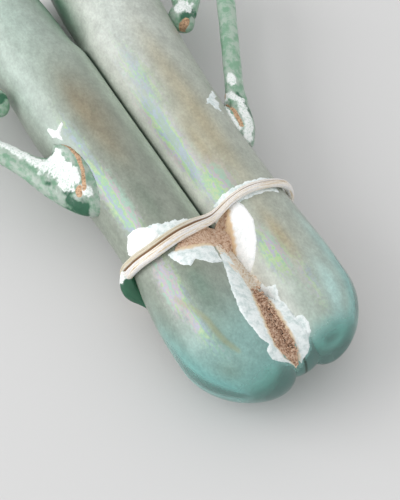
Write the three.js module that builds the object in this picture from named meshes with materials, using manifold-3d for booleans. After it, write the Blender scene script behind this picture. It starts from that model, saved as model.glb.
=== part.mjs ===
// A late Roman double unguentarium of blown glass, lying on its back. One bubble was pinched
// down the middle into two tubes side by side, a trail was wound round both above the base,
// and on each side a thick trail was drawn out in two loops as a handle.
//
// Millimetres. +Z is up from the surface it lies on, +Y runs along the tubes towards the
// mouths and +X is the side of the right tube. The origin is on that surface, midway along
// the length and between the tubes.

import * as THREE from "three";
import { mergeVertices } from "three/addons/utils/BufferGeometryUtils.js";
import Module from "manifold-3d";

const wasm = await Module();
wasm.setup();

// ---- driving dimensions ----

const LENGTH = 138; // base end to the top of the rims
const AXIS_HEIGHT = 12.6; // both tubes' centre lines, above the surface
const JOINT_GAP = 0.3; // kept between two pieces of glass that meet
const TUBE_SEGMENTS = 24;
const ROD_SEGMENTS = 8;

// The walls of the tubes, and the thick glass left in the base.
const WALL = 1.7;
const BASE_WALL = 5;

// The rounded base ends reach this far along, and are drawn with this many rings.
const CAP_LENGTH = 17.5;
const CAP_RINGS = 7;

// The two tubes. `side` is -1 on the left, `start` is where the base end begins, and `lean` is
// how far its tip leans to the middle. At each place past the rounded end, `along` counts from
// the base, `radius` is the outer radius and `offset` is the centre's distance from the middle.
const LEFT_TUBE = {
  side: -1,
  start: 0,
  lean: 4.6,
  places: [
    { along: CAP_LENGTH, radius: 11.8, offset: 11.6 }, // lobe
    { along: 27, radius: 11.7, offset: 11.5 },
    { along: 42, radius: 10.9, offset: 10.7 }, // under the wound trail
    { along: 56, radius: 10.6, offset: 10.4 }, // waist
    { along: 72, radius: 11.0, offset: 10.8 },
    { along: 88, radius: 11.5, offset: 11.3 },
    { along: 104, radius: 11.3, offset: 11.1 },
    { along: 109, radius: 10.9, offset: 11.7 }, // the tubes part here
    { along: 121, radius: 10.5, offset: 11.7 }, // neck
    { along: 130, radius: 10.3, offset: 12.3 },
  ],
};
const RIGHT_TUBE = {
  side: 1,
  start: 1.5,
  lean: 3.7,
  places: [
    { along: CAP_LENGTH, radius: 10.65, offset: 10.4 },
    { along: 27, radius: 10.75, offset: 10.5 },
    { along: 42, radius: 10.5, offset: 10.3 },
    { along: 56, radius: 10.5, offset: 10.3 },
    { along: 72, radius: 10.9, offset: 10.7 },
    { along: 88, radius: 11.4, offset: 11.2 },
    { along: 104, radius: 12.1, offset: 11.9 },
    { along: 109, radius: 11.9, offset: 12.7 },
    { along: 121, radius: 11.1, offset: 12.5 },
    { along: 130, radius: 10.5, offset: 12.8 },
  ],
};

// The folded rim: a thick rounded lip with a narrow flat top, round the mouth's bore.
const RIM = { radius: 12.85, offset: 13.0, fold: 3.2, flat: 11.4, mouth: 8.4 };

// Glass that closes the notch between the two base ends.
const WEB = { halfWidth: 9.5, reach: 10.6, halfHeight: 7.2, along: 12.4 };

// The trail wound round both tubes, twice over on the left. It bridges the grooves between
// them, sagging into each. `run` gives its place along at each angle from the top of a tube.
const TRAIL = { along: 42, leftHalfWidth: 1.8, rightHalfWidth: 1.2, halfHeight: 1.15, sag: 3.4 };
const TRAIL_STEPS = 52;
const TRAIL_RUN = {
  left: [
    { degrees: -90, along: 44 },
    { degrees: -58, along: 42.4 },
    { degrees: -28, along: 41 },
    { degrees: 0, along: 40.8 },
    { degrees: 24, along: 41.4 },
  ],
  groove: 42.6,
  right: [
    { degrees: -24, along: 43 },
    { degrees: 0, along: 43.1 },
    { degrees: 28, along: 43.4 },
    { degrees: 58, along: 43.8 },
    { degrees: 90, along: 44 },
  ],
};
// Where the trail was dropped on: a blob on the left tube, with a tail towards the base.
const DROP = { radius: 2.4, from: [-22.4, 44, 13.6], to: [-21.6, 35.6, 10.4] };

// The handles run level at this height. Each is a trail of oval section drawn out in two
// loops, as (out from the middle, along).
const HANDLE_HEIGHT = 15.2;
const STRAP = { halfWidth: 2.35, halfHeight: 1.7 };
const LOWER_LOOP = [
  [23.4, 71],
  [27.2, 78.6],
  [32.2, 88.6],
  [38.4, 101],
  [42.6, 110],
  [43.2, 116],
  [40.2, 118.6],
  [36.8, 115.4],
  [32.4, 108],
  [28, 102.6],
];
const UPPER_LOOP = [
  [27.4, 102],
  [29.4, 109],
  [31.6, 117],
  [32.6, 125],
  [30.4, 131.6],
  [24.8, 133.8],
];
// Where the trail was pressed on beside the necks, between the two loops.
const MIDDLE_PAD = { at: [26.2, 102.4], halfLength: 4.2, radius: 3.1 };
// Where each handle was dropped on: the trail's foot, spread over the side of the tube. Each
// ring stands at (out, along, height), turned in the level plane by `turn` degrees.
const LEFT_FOOT = [
  { at: [14, 72.6, 16.4], halfLength: 12.8, halfHeight: 5.2, turn: 0 },
  { at: [19.6, 72.6, 16], halfLength: 12.8, halfHeight: 4.8, turn: 0 },
  { at: [22.4, 73, 15.2], halfLength: 10.6, halfHeight: 3.8, turn: 6 },
  { at: [24.9, 75.2, 15.2], halfLength: 6.6, halfHeight: 2.8, turn: 24 },
  { at: [27.6, 80, 15.2], halfLength: 3.6, halfHeight: 2.1, turn: 56 },
  { at: [32.2, 88.6, 15.2], halfLength: 2.6, halfHeight: 1.75, turn: 62 },
];
const RIGHT_FOOT = [
  { at: [14, 66, 15.4], halfLength: 7.6, halfHeight: 3.8, turn: 0 },
  { at: [19.4, 66, 15.2], halfLength: 7.6, halfHeight: 3.7, turn: 0 },
  { at: [21.9, 67, 15.2], halfLength: 5.6, halfHeight: 3, turn: 10 },
  { at: [23.6, 70, 15.2], halfLength: 3.2, halfHeight: 2.3, turn: 42 },
  { at: [25.6, 75.2, 15.2], halfLength: 2.5, halfHeight: 1.8, turn: 62 },
];

// ---- shared ways of making a solid ----

const yOf = (along) => along - LENGTH / 2;

/** The closed solid inside a geometry, with its shared corners merged. */
function solid(geometry) {
  geometry.deleteAttribute("normal");
  geometry.deleteAttribute("uv");
  const merged = mergeVertices(geometry, 1e-4);
  const index = merged.index.array;
  const triangles = [];
  for (let i = 0; i < index.length; i += 3) {
    const [a, b, c] = index.slice(i, i + 3);
    if (a !== b && b !== c && c !== a) triangles.push(a, b, c);
  }
  const made = (triVerts) =>
    new wasm.Manifold(
      new wasm.Mesh({
        numProp: 3,
        vertProperties: merged.attributes.position.array,
        triVerts: Uint32Array.from(triVerts),
      }),
    );
  const first = made(triangles);
  return first.volume() > 0 ? first : made(triangles.reverse());
}

/** A named mesh of a solid, in its material. */
function piece(name, manifold, material) {
  const { vertProperties, triVerts, numProp } = manifold.getMesh();
  const corners = new THREE.InterleavedBuffer(vertProperties, numProp);
  const geometry = new THREE.BufferGeometry();
  const position = new Float32Array(corners.count * 3);
  for (let i = 0; i < corners.count; i++) {
    for (let k = 0; k < 3; k++) position[3 * i + k] = vertProperties[numProp * i + k];
  }
  geometry.setAttribute("position", new THREE.BufferAttribute(position, 3));
  geometry.setIndex(new THREE.BufferAttribute(Uint32Array.from(triVerts), 1));
  geometry.computeVertexNormals();
  const mesh = new THREE.Mesh(geometry, material);
  mesh.name = name;
  return mesh;
}

/** A closed solid turned round a line that may bend. Each ring has its centre, its radius and
 *  the two directions that its circle lies in, which are longer than 1 where it is oval. */
function turned(rings, segments) {
  const profile = rings.map((ring, j) => new THREE.Vector2(ring.radius, j));
  const geometry = new THREE.LatheGeometry(profile, segments);
  const position = geometry.getAttribute("position");
  for (let i = 0; i < position.count; i++) {
    const ring = rings[i % rings.length];
    const point = ring.centre
      .clone()
      .addScaledVector(ring.across, position.getX(i))
      .addScaledVector(ring.up, position.getZ(i));
    position.setXYZ(i, point.x, point.y, point.z);
  }
  return solid(geometry);
}

/** A rod of oval section along a curve, with round ends. `up` is the side its height faces,
 *  and swell(t) widens or narrows it along the way. */
function rod(curve, { halfWidth, halfHeight }, up, steps, swell = () => 1) {
  const length = curve.getLength();
  const rings = [];
  for (let j = 0; j <= steps; j++) {
    // Rings crowd towards the ends, where the rod rounds off over a half width.
    const t = (1 - Math.cos((Math.PI * j) / steps)) / 2;
    const fromEnd = Math.min(t, 1 - t) * length;
    const round = Math.sqrt(Math.max(0, 1 - (1 - Math.min(1, fromEnd / halfWidth)) ** 2));
    const tangent = curve.getTangentAt(t);
    const across = new THREE.Vector3().crossVectors(tangent, up).normalize();
    rings.push({
      centre: curve.getPointAt(t),
      radius: j === 0 || j === steps ? 0 : round * swell(t),
      across: across.multiplyScalar(halfWidth),
      up: new THREE.Vector3().crossVectors(across, tangent).normalize().multiplyScalar(halfHeight),
    });
  }
  return turned(rings, ROD_SEGMENTS);
}

// ---- the double tube ----

/** Radius, place along and offset of a tube at evenly spread places past its cap. */
function stations(tube, count) {
  const line = tube.places.map(
    ({ along, radius, offset }) => new THREE.Vector3(radius, along, offset),
  );
  return new THREE.CatmullRomCurve3(line, false, "centripetal").getPoints(count);
}

/** One upright ring of a tube. */
const tubeRing = (tube, along, radius, offset) => ({
  centre: new THREE.Vector3(tube.side * offset, yOf(along), AXIS_HEIGHT),
  radius,
  across: new THREE.Vector3(1, 0, 0),
  up: new THREE.Vector3(0, 0, 1),
});

/** The rings of a tube's rounded end. It starts at `start` and swells out to `radius`. */
function capRings(tube, start, radius, count) {
  const rings = [];
  for (let j = 0; j < count; j++) {
    const back = Math.cos((Math.PI / 2) * (j / count));
    const round = j === 0 ? 0 : Math.sqrt(1 - back ** 2);
    const along = CAP_LENGTH - back * (CAP_LENGTH - start);
    const lean = tube.lean * ((CAP_LENGTH - along) / CAP_LENGTH) ** 2;
    rings.push(tubeRing(tube, along, radius * round, tube.places[0].offset - lean));
  }
  return rings;
}

/** The outside of one tube as a filled solid, grown outwards by `grow`. */
function tubeOutside(tube, grow = 0) {
  const rings = capRings(tube, tube.start - grow, tube.places[0].radius + grow, CAP_RINGS);
  for (const { x: radius, y: along, z: offset } of stations(tube, 18)) {
    rings.push(tubeRing(tube, along, radius + grow, offset));
  }
  const underLip = LENGTH - RIM.fold;
  const lip = [
    { along: underLip - 1.4, radius: RIM.radius - 1.3 },
    { along: underLip + 0.4, radius: RIM.radius - 0.1 },
    { along: underLip + 1.4, radius: RIM.radius },
    { along: LENGTH - 0.7, radius: RIM.radius - 0.5 },
    { along: LENGTH + grow, radius: RIM.flat },
  ];
  for (const { along, radius } of lip) {
    rings.push(tubeRing(tube, along, radius + grow, RIM.offset));
  }
  rings.push(tubeRing(tube, LENGTH + grow, 0, RIM.offset));
  return turned(rings, TUBE_SEGMENTS);
}

/** The empty inside of one tube, run out past its mouth. */
function tubeInside(tube) {
  const rings = capRings(tube, tube.start + BASE_WALL, tube.places[0].radius - WALL, CAP_RINGS - 1);
  for (const { x: radius, y: along, z: offset } of stations(tube, 14)) {
    rings.push(tubeRing(tube, along, radius - WALL, offset));
  }
  const pastMouth = LENGTH + 2;
  rings.push(tubeRing(tube, LENGTH - RIM.fold, RIM.mouth, RIM.offset));
  rings.push(tubeRing(tube, LENGTH - 0.6, RIM.mouth + 0.6, RIM.offset));
  rings.push(tubeRing(tube, pastMouth, RIM.mouth + 2.4, RIM.offset));
  rings.push(tubeRing(tube, pastMouth, 0, RIM.offset));
  return turned(rings, TUBE_SEGMENTS - 4);
}

/** The lump of glass that closes the notch between the base ends. */
function baseWeb(grow = 0) {
  const geometry = new THREE.SphereGeometry(1, 16, 10);
  geometry.scale(WEB.halfWidth + grow, WEB.reach + grow, WEB.halfHeight + grow);
  geometry.translate(0, yOf(WEB.along), AXIS_HEIGHT);
  return solid(geometry);
}

/** Both tubes and the web, filled, grown outwards by `grow`. */
function pairOutside(grow = 0) {
  return tubeOutside(LEFT_TUBE, grow).add(tubeOutside(RIGHT_TUBE, grow)).add(baseWeb(grow));
}

/** Everything under the surface that the object lies on, taken off as a worn flat spot. */
function belowSurface() {
  const depth = 10;
  const geometry = new THREE.BoxGeometry(4 * LENGTH, 4 * LENGTH, depth);
  geometry.translate(0, 0, -depth / 2);
  return solid(geometry);
}

function doubleTube() {
  return pairOutside()
    .subtract(tubeInside(LEFT_TUBE))
    .subtract(tubeInside(RIGHT_TUBE))
    .subtract(belowSurface());
}

// ---- the wound trail ----

/** The closed line that the trail's middle follows, round both tubes. */
function trailLine() {
  const clear = JOINT_GAP + 0.75 * TRAIL.halfHeight;
  const placeOf = (tube) => tube.places.find(({ along }) => along === TRAIL.along);
  const over = (tube, run) => {
    const { radius, offset } = placeOf(tube);
    return run.map(({ degrees, along }) => {
      const angle = THREE.MathUtils.degToRad(degrees);
      const x = tube.side * offset + (radius + clear) * Math.sin(angle);
      return new THREE.Vector3(x, yOf(along), (radius + clear) * Math.cos(angle));
    });
  };
  const sagged = placeOf(LEFT_TUBE).radius + clear - TRAIL.sag;
  const top = [
    ...over(LEFT_TUBE, TRAIL_RUN.left),
    new THREE.Vector3(0, yOf(TRAIL_RUN.groove), sagged),
    ...over(RIGHT_TUBE, TRAIL_RUN.right),
  ];
  const under = top.slice(1, -1).reverse().map(({ x, y, z }) => new THREE.Vector3(x, y, -z));
  const line = [...top, ...under].map((point) => point.setZ(point.z + AXIS_HEIGHT));
  return new THREE.CatmullRomCurve3(line, true, "centripetal");
}

/** A closed ring of oval section along the trail's line. */
function trailRing() {
  const line = trailLine();
  const sides = 8;
  const geometry = new THREE.TorusGeometry(3, 1, sides, TRAIL_STEPS);
  const position = geometry.getAttribute("position");
  const along = new THREE.Vector3(0, 1, 0);
  for (let i = 0; i < position.count; i++) {
    const step = i % (TRAIL_STEPS + 1);
    const around = (2 * Math.PI * (i - step)) / ((TRAIL_STEPS + 1) * sides);
    const t = (step / TRAIL_STEPS) % 1;
    const point = line.getPointAt(t);
    const outward = new THREE.Vector3().crossVectors(line.getTangentAt(t), along).normalize();
    const toRight = THREE.MathUtils.smoothstep(point.x, -9, 9);
    const halfWidth = THREE.MathUtils.lerp(TRAIL.leftHalfWidth, TRAIL.rightHalfWidth, toRight);
    point.addScaledVector(along, halfWidth * Math.cos(around));
    point.addScaledVector(outward, TRAIL.halfHeight * Math.sin(around));
    position.setXYZ(i, point.x, point.y, point.z);
  }
  return solid(geometry);
}

/** The blob that the trail starts from. */
function trailDrop() {
  const [from, to] = [DROP.from, DROP.to].map(
    ([x, along, z]) => new THREE.Vector3(x, yOf(along), z),
  );
  const section = { halfWidth: DROP.radius, halfHeight: DROP.radius };
  const swell = (t) => 0.55 + 0.45 * Math.sin(Math.PI * Math.min(1, 0.25 + t)) ** 2;
  return rod(new THREE.LineCurve3(from, to), section, new THREE.Vector3(0, 0, 1), 8, swell);
}

function woundTrail() {
  return trailRing()
    .add(trailDrop())
    .subtract(pairOutside(JOINT_GAP))
    .subtract(belowSurface());
}

// ---- the handles ----

const handleLine = (points) =>
  new THREE.CatmullRomCurve3(
    points.map(([out, along]) => new THREE.Vector3(out, yOf(along), HANDLE_HEIGHT)),
    false,
    "centripetal",
  );

/** The foot of a handle, a funnel from the side of the tube to the start of the strap. */
function handleFoot(foot) {
  const rings = foot.map(({ at: [out, along, z], halfLength, halfHeight, turn }) => {
    const angle = THREE.MathUtils.degToRad(turn);
    return {
      centre: new THREE.Vector3(out, yOf(along), z),
      radius: 1,
      across: new THREE.Vector3(-Math.sin(angle), Math.cos(angle), 0).multiplyScalar(halfLength),
      up: new THREE.Vector3(0, 0, halfHeight),
    };
  });
  const closed = (ring) => ({ ...ring, radius: 0 });
  return turned([closed(rings[0]), ...rings, closed(rings.at(-1))], 14);
}

/** The thickened glass pressed against the tube between the loops. */
function middlePad() {
  const [out, along] = MIDDLE_PAD.at;
  const geometry = new THREE.SphereGeometry(1, 12, 8);
  geometry.scale(MIDDLE_PAD.radius, MIDDLE_PAD.halfLength, MIDDLE_PAD.radius);
  geometry.translate(out, yOf(along), HANDLE_HEIGHT);
  return solid(geometry);
}

/** One handle, made on the right and turned over to the left where side is -1. */
function handle(side, foot) {
  const up = new THREE.Vector3(0, 0, 1);
  const made = rod(handleLine(LOWER_LOOP), STRAP, up, 38)
    .add(rod(handleLine(UPPER_LOOP), STRAP, up, 22))
    .add(handleFoot(foot))
    .add(middlePad());
  const placed = side < 0 ? made.mirror([1, 0, 0]) : made;
  return placed.subtract(pairOutside(JOINT_GAP));
}

// ---- the object ----

const bodyGlass = new THREE.MeshStandardMaterial({ color: 0xa9b8a6, roughness: 0.32, metalness: 0 });
const trailGlass = new THREE.MeshStandardMaterial({ color: 0xe6dccb, roughness: 0.6, metalness: 0 });
const handleGlass = new THREE.MeshStandardMaterial({ color: 0x8fbfa2, roughness: 0.28, metalness: 0 });

const unguentarium = new THREE.Group();
unguentarium.add(
  piece("double_tube", doubleTube(), bodyGlass),
  piece("wound_trail", woundTrail(), trailGlass),
  piece("left_handle", handle(-1, LEFT_FOOT), handleGlass),
  piece("right_handle", handle(1, RIGHT_FOOT), handleGlass),
);

export default unguentarium;
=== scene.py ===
"""A late Roman double unguentarium of blown glass, lying on its back on a pale table.

One bubble was pinched down the middle into two tubes. A trail is wound round both near the
base, and a trail handle is drawn out on each side. Long burial left a thin iridescent film
on the glass, white crust that flakes, and soil in the groove between the tubes.

Lengths are in millimetres until a mesh is finished, and then in metres. +Y runs along the
tubes to the mouths, +X is the side of the right tube and +Z is up. A place on a tube is its
distance `along` from the base end and its angle `around` from the top, positive to the right.
"""

import math
import random

import bmesh
import bpy
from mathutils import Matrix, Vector, kdtree, noise
from mathutils.bvhtree import BVHTree


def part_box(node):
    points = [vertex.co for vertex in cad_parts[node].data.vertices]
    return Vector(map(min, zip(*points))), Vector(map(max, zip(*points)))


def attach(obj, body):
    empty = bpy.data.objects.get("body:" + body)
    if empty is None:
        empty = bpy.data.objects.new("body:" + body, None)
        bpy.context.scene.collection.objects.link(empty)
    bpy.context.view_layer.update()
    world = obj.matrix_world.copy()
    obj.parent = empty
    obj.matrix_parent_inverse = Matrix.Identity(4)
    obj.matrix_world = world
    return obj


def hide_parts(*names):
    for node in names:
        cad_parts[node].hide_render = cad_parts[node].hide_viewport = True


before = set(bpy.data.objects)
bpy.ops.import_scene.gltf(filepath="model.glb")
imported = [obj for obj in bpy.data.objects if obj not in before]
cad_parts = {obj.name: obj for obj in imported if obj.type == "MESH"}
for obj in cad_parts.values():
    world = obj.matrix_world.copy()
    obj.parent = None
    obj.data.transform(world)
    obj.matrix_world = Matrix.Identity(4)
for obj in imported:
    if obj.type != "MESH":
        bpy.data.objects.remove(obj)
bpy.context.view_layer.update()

MM = 0.001
ROOT = "root"

# ---- driving dimensions, in millimetres ----

BODY_LOW, BODY_HIGH = [Vector(corner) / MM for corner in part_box("double_tube")]
BASE_Y = BODY_LOW.y
LENGTH = BODY_HIGH.y - BODY_LOW.y

WALL = 1.7
BASE_WALL = 5.0
CAP_LENGTH = 17.5  # the rounded base end of each tube
RIM = {"radius": 12.85, "offset": 13.0, "fold": 3.2, "flat": 11.4, "mouth": 8.4}
LIP_ROUNDING = 1.4  # how far the fold of the rim bulges out
AXIS_HEIGHT = BODY_HIGH.z - RIM["radius"]

# Each tube's outer radius and its centre's distance from the middle, past its rounded end.
LEFT_PLACES = [
    (17.5, 11.8, 11.6),  # lobe
    (27, 11.7, 11.5),
    (42, 10.9, 10.7),  # under the wound trail
    (56, 10.6, 10.4),  # waist
    (72, 11.0, 10.8),
    (88, 11.5, 11.3),
    (104, 11.3, 11.1),
    (109, 10.9, 11.7),  # the tubes part here
    (121, 10.5, 11.7),  # neck
    (130, 10.3, 12.3),
]
RIGHT_PLACES = [
    (17.5, 10.65, 10.4),
    (27, 10.75, 10.5),
    (42, 10.5, 10.3),
    (56, 10.5, 10.3),
    (72, 10.9, 10.7),
    (88, 11.4, 11.2),
    (104, 12.1, 11.9),
    (109, 11.9, 12.7),
    (121, 11.1, 12.5),
    (130, 10.5, 12.8),
]
WEB = {"half_width": 9.5, "reach": 10.6, "half_height": 7.2, "along": 12.4}


# ---- small tools ----


def blend(low, high, share):
    """The value that lies this share of the way from low to high."""
    return low + (high - low) * share


def step(low, high, value):
    """Rises smoothly from 0 at low to 1 at high."""
    share = min(1.0, max(0.0, (value - low) / (high - low)))
    return share * share * (3 - 2 * share)


def bell(distance, reach):
    """1 at no distance, falling smoothly to almost nothing at twice the reach."""
    return math.exp(-((distance / reach) ** 2))


def ripple(x, y, z=0.0):
    """Smooth noise from about -1 to 1, the same on every run."""
    return noise.noise(Vector((x, y, z)))


def curved(start, end, slope_in, slope_out, t):
    """The place at a share t of a smooth curve from start to end."""
    return (
        start * (2 * t**3 - 3 * t**2 + 1)
        + end * (3 * t**2 - 2 * t**3)
        + slope_in * (t**3 - 2 * t**2 + t)
        + slope_out * (t**3 - t**2)
    )


def smooth_value(places, along):
    """A smooth curve through rows of (along, value, value ...), read at one place."""
    if along <= places[0][0]:
        return places[0][1:]
    if along >= places[-1][0]:
        return places[-1][1:]
    spot = max(i for i, place in enumerate(places) if place[0] <= along)
    before, start = places[max(spot - 1, 0)], places[spot]
    end, after = places[spot + 1], places[min(spot + 2, len(places) - 1)]
    width = end[0] - start[0]
    t = (along - start[0]) / width
    values = []
    for k in range(1, len(start)):
        slope_in = (end[k] - before[k]) / (end[0] - before[0]) * width
        slope_out = (after[k] - start[k]) / (after[0] - start[0]) * width
        values.append(curved(start[k], end[k], slope_in, slope_out, t))
    return tuple(values)


def path_through(points, spacing, closed=False):
    """Points about this far apart on a smooth line through the given ones."""
    line = [Vector(point) for point in points]
    count = len(line)
    dense = []
    for i in range(count if closed else count - 1):
        if closed:
            p0, p1, p2, p3 = [line[(i + k) % count] for k in (-1, 0, 1, 2)]
        else:
            p0, p1, p2, p3 = [line[min(max(i + k, 0), count - 1)] for k in (-1, 0, 1, 2)]
        steps = max(1, round((p2 - p1).length / spacing))
        for j in range(steps):
            dense.append(curved(p1, p2, (p2 - p0) / 2, (p3 - p1) / 2, j / steps))
    if not closed:
        dense.append(line[-1])
    return dense


def distance_to_line(point, line):
    """How far a point is from a line of straight stretches."""
    nearest = math.inf
    for start, end in zip(line, line[1:]):
        start, end = Vector(start), Vector(end)
        run = end - start
        share = min(1.0, max(0.0, (point - start).dot(run) / run.length_squared))
        nearest = min(nearest, (start + run * share - point).length)
    return nearest


def colour(hexed):
    """A linear colour from an sRGB hex value."""
    channels = [int(hexed[i : i + 2], 16) / 255 for i in (1, 3, 5)]
    linear = [c / 12.92 if c <= 0.04045 else ((c + 0.055) / 1.055) ** 2.4 for c in channels]
    return (*linear, 1.0)


# ---- mesh making ----


def grid(columns, rows, place, merge=0.004):
    """A grid whose points place(u, v) puts in space, with the points that meet merged.
    u and v run from 0 to 1."""
    bm = bmesh.new()
    bmesh.ops.create_grid(bm, x_segments=columns, y_segments=rows, size=0.5)
    for vert in bm.verts:
        vert.co = place(vert.co.x + 0.5, vert.co.y + 0.5)
    bmesh.ops.remove_doubles(bm, verts=bm.verts, dist=merge)
    bmesh.ops.recalc_face_normals(bm, faces=bm.faces)
    return bm


def finished(name, bm, sharp_degrees=None):
    """An object of a mesh that was drawn in millimetres. Its place is in its mesh."""
    mesh = bpy.data.meshes.new(name)
    bmesh.ops.scale(bm, vec=(MM, MM, MM), verts=bm.verts)
    bm.to_mesh(mesh)
    bm.free()
    piece = bpy.data.objects.new(name, mesh)
    bpy.context.scene.collection.objects.link(piece)
    soften(piece, sharp_degrees)
    return piece


def soften(piece, sharp_degrees=None):
    """Smooth shading, but for edges sharper than the given angle."""
    mesh = piece.data
    mesh.polygons.foreach_set("use_smooth", [True] * len(mesh.polygons))
    if sharp_degrees:
        mesh.set_sharp_from_angle(angle=math.radians(sharp_degrees))


def settle(piece):
    """Makes a piece's modifiers part of its mesh."""
    graph = bpy.context.evaluated_depsgraph_get()
    shaped = bpy.data.meshes.new_from_object(piece.evaluated_get(graph))
    piece.modifiers.clear()
    piece.data = shaped


def carve(piece, tool, operation):
    """Joins a piece with another, or cuts it by the other, and keeps the other."""
    cut = piece.modifiers.new("carve", "BOOLEAN")
    cut.operation = operation
    cut.solver = "EXACT"
    cut.object = tool
    settle(piece)


def fuse(piece, voxel, rounds):
    """Makes one skin of a piece's overlapping parts and smooths it, as hot glass flows."""
    remesh = piece.modifiers.new("fuse", "REMESH")
    remesh.mode = "VOXEL"
    remesh.voxel_size = voxel * MM
    smooth = piece.modifiers.new("flow", "SMOOTH")
    smooth.factor = 0.5
    smooth.iterations = rounds
    settle(piece)


def attribute(piece, name, value_at):
    """Stores value_at(point in millimetres) on a piece's points, for its material to read."""
    layer = piece.data.attributes.new(name, "FLOAT", "POINT")
    values = [value_at(vertex.co / MM) for vertex in piece.data.vertices]
    layer.data.foreach_set("value", values)


def keep(piece, material, slot, *nodes):
    """Gives a finished piece its material, its body and the CAD nodes that it stands for."""
    piece.data.materials.clear()
    piece.data.materials.append(material)
    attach(piece, ROOT)
    if nodes:
        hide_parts(*nodes)
    return piece


# ---- the two tubes as surfaces ----


class Tube:
    """One tube: its side (-1 or 1), how far along its rounded end starts, how far that end
    leans to the middle, and the places past it."""

    def __init__(self, side, start, lean, places):
        self.side, self.start, self.lean, self.places = side, start, lean, places

    def shape(self, along):
        """The outer radius there, and how far the centre stands from the middle."""
        radius, offset = smooth_value(self.places, along)
        if along >= CAP_LENGTH:
            return radius, offset
        back = min(1.0, (CAP_LENGTH - along) / (CAP_LENGTH - self.start))
        lean = self.lean * ((CAP_LENGTH - along) / CAP_LENGTH) ** 2
        return radius * math.sqrt(1 - back**2), offset - lean

    def point(self, along, around, lift=0.0):
        """A place on the tube's outside, or this far above it."""
        radius, offset = self.shape(along)
        angle = math.radians(around)
        x = self.side * offset + (radius + lift) * math.sin(angle)
        return Vector((x, BASE_Y + along, AXIS_HEIGHT + (radius + lift) * math.cos(angle)))

    def place(self, point):
        """The along and around of a point in space, and how far it is from the centre line."""
        along = point.y - BASE_Y
        _, offset = self.shape(max(along, self.start))
        across, up = point.x - self.side * offset, point.z - AXIS_HEIGHT
        return along, math.degrees(math.atan2(across, up)), math.hypot(across, up)


LEFT = Tube(-1, 0.0, 4.6, LEFT_PLACES)
RIGHT = Tube(1, 1.5, 3.7, RIGHT_PLACES)


def tube_at(point):
    """The tube that a point belongs to."""
    return LEFT if point.x < 0 else RIGHT


# ---- the blown body ----

OUTER_COLUMNS = 140
INNER_COLUMNS = 64


def turned(tube, profile, columns):
    """A closed skin of rings round a tube's centre line, from rows of along, radius, offset."""

    def place(u, v):
        along, radius, offset = profile[round(v * (len(profile) - 1))]
        angle = 2 * math.pi * u
        x = tube.side * offset + radius * math.sin(angle)
        return Vector((x, BASE_Y + along, AXIS_HEIGHT + radius * math.cos(angle)))

    return grid(columns, len(profile) - 1, place)


def cap_profile(tube, start, thinner):
    """Rows for a rounded end that starts at `start`, thinner than the outside by so much."""
    rows = []
    rings = 16
    for j in range(rings):
        back = math.cos(math.pi / 2 * j / rings)
        along = CAP_LENGTH - back * (CAP_LENGTH - start)
        radius = (tube.places[0][1] - thinner) * math.sqrt(1 - back**2)
        lean = tube.lean * ((CAP_LENGTH - along) / CAP_LENGTH) ** 2
        rows.append((along, radius, tube.places[0][2] - lean))
    return rows


def shaft_profile(tube, thinner, spacing):
    """Rows for the long part of a tube."""
    last = tube.places[-1][0]
    count = round((last - CAP_LENGTH) / spacing)
    rows = []
    for j in range(count + 1):
        along = blend(CAP_LENGTH, last, j / count)
        radius, offset = tube.shape(along)
        rows.append((along, radius - thinner, offset))
    return rows


def outside(tube):
    """A tube's filled outside, with its folded rim."""
    under_lip = LENGTH - RIM["fold"]
    rows = cap_profile(tube, tube.start, 0) + shaft_profile(tube, 0, 0.9)
    rows.append((under_lip - 2.4, RIM["radius"] - 1.95, RIM["offset"] - 0.2))  # the neck flares
    middle = under_lip + RIM["fold"] / 2
    for degrees in range(-75, 76, 15):  # the lip is a fat round fold
        angle = math.radians(degrees)
        radius = RIM["radius"] - LIP_ROUNDING + LIP_ROUNDING * math.cos(angle)
        rows.append((middle + RIM["fold"] / 2 * math.sin(angle), radius, RIM["offset"]))
    rows.append((LENGTH, RIM["flat"], RIM["offset"]))
    rows.append((LENGTH, 0, RIM["offset"]))
    return finished("outside", turned(tube, rows, OUTER_COLUMNS))


def inside(tube):
    """The hollow of a tube, run out past its mouth."""
    past = LENGTH + 2  # so that the cut leaves no skin over the mouth
    rows = cap_profile(tube, tube.start + BASE_WALL, WALL) + shaft_profile(tube, WALL, 1.8)
    for back, wider in ((RIM["fold"], 0), (1.4, 0.1), (0.6, 0.45), (0.1, 1.1)):
        rows.append((LENGTH - back, RIM["mouth"] + wider, RIM["offset"]))
    rows.append((past, RIM["mouth"] + 4.0, RIM["offset"]))
    rows.append((past, 0, RIM["offset"]))
    return finished("inside", turned(tube, rows, INNER_COLUMNS))


def base_web():
    """The lump of glass that closes the notch between the base ends."""
    bm = bmesh.new()
    bmesh.ops.create_uvsphere(bm, u_segments=48, v_segments=28, radius=1)
    size = (WEB["half_width"], WEB["reach"], WEB["half_height"])
    bmesh.ops.scale(bm, vec=size, verts=bm.verts)
    bmesh.ops.translate(bm, vec=(0, BASE_Y + WEB["along"], AXIS_HEIGHT), verts=bm.verts)
    return finished("web", bm)


def filled_pair():
    """Both tubes and the web as one filled solid. Handles are cut back to it."""
    pair = outside(LEFT)
    for tool in (outside(RIGHT), base_web()):
        carve(pair, tool, "UNION")
        bpy.data.objects.remove(tool)
    return pair


# The flat where the pontil was cracked off: how far along it reaches and how deep it is, how
# much it leans with height and falls to each side of its middle, and how flat it is.
PONTIL = {"reach": 9, "depth": 1.7, "lean": 0.24, "fall": 0.05, "middle": 8, "flatness": 0.85}


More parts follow.
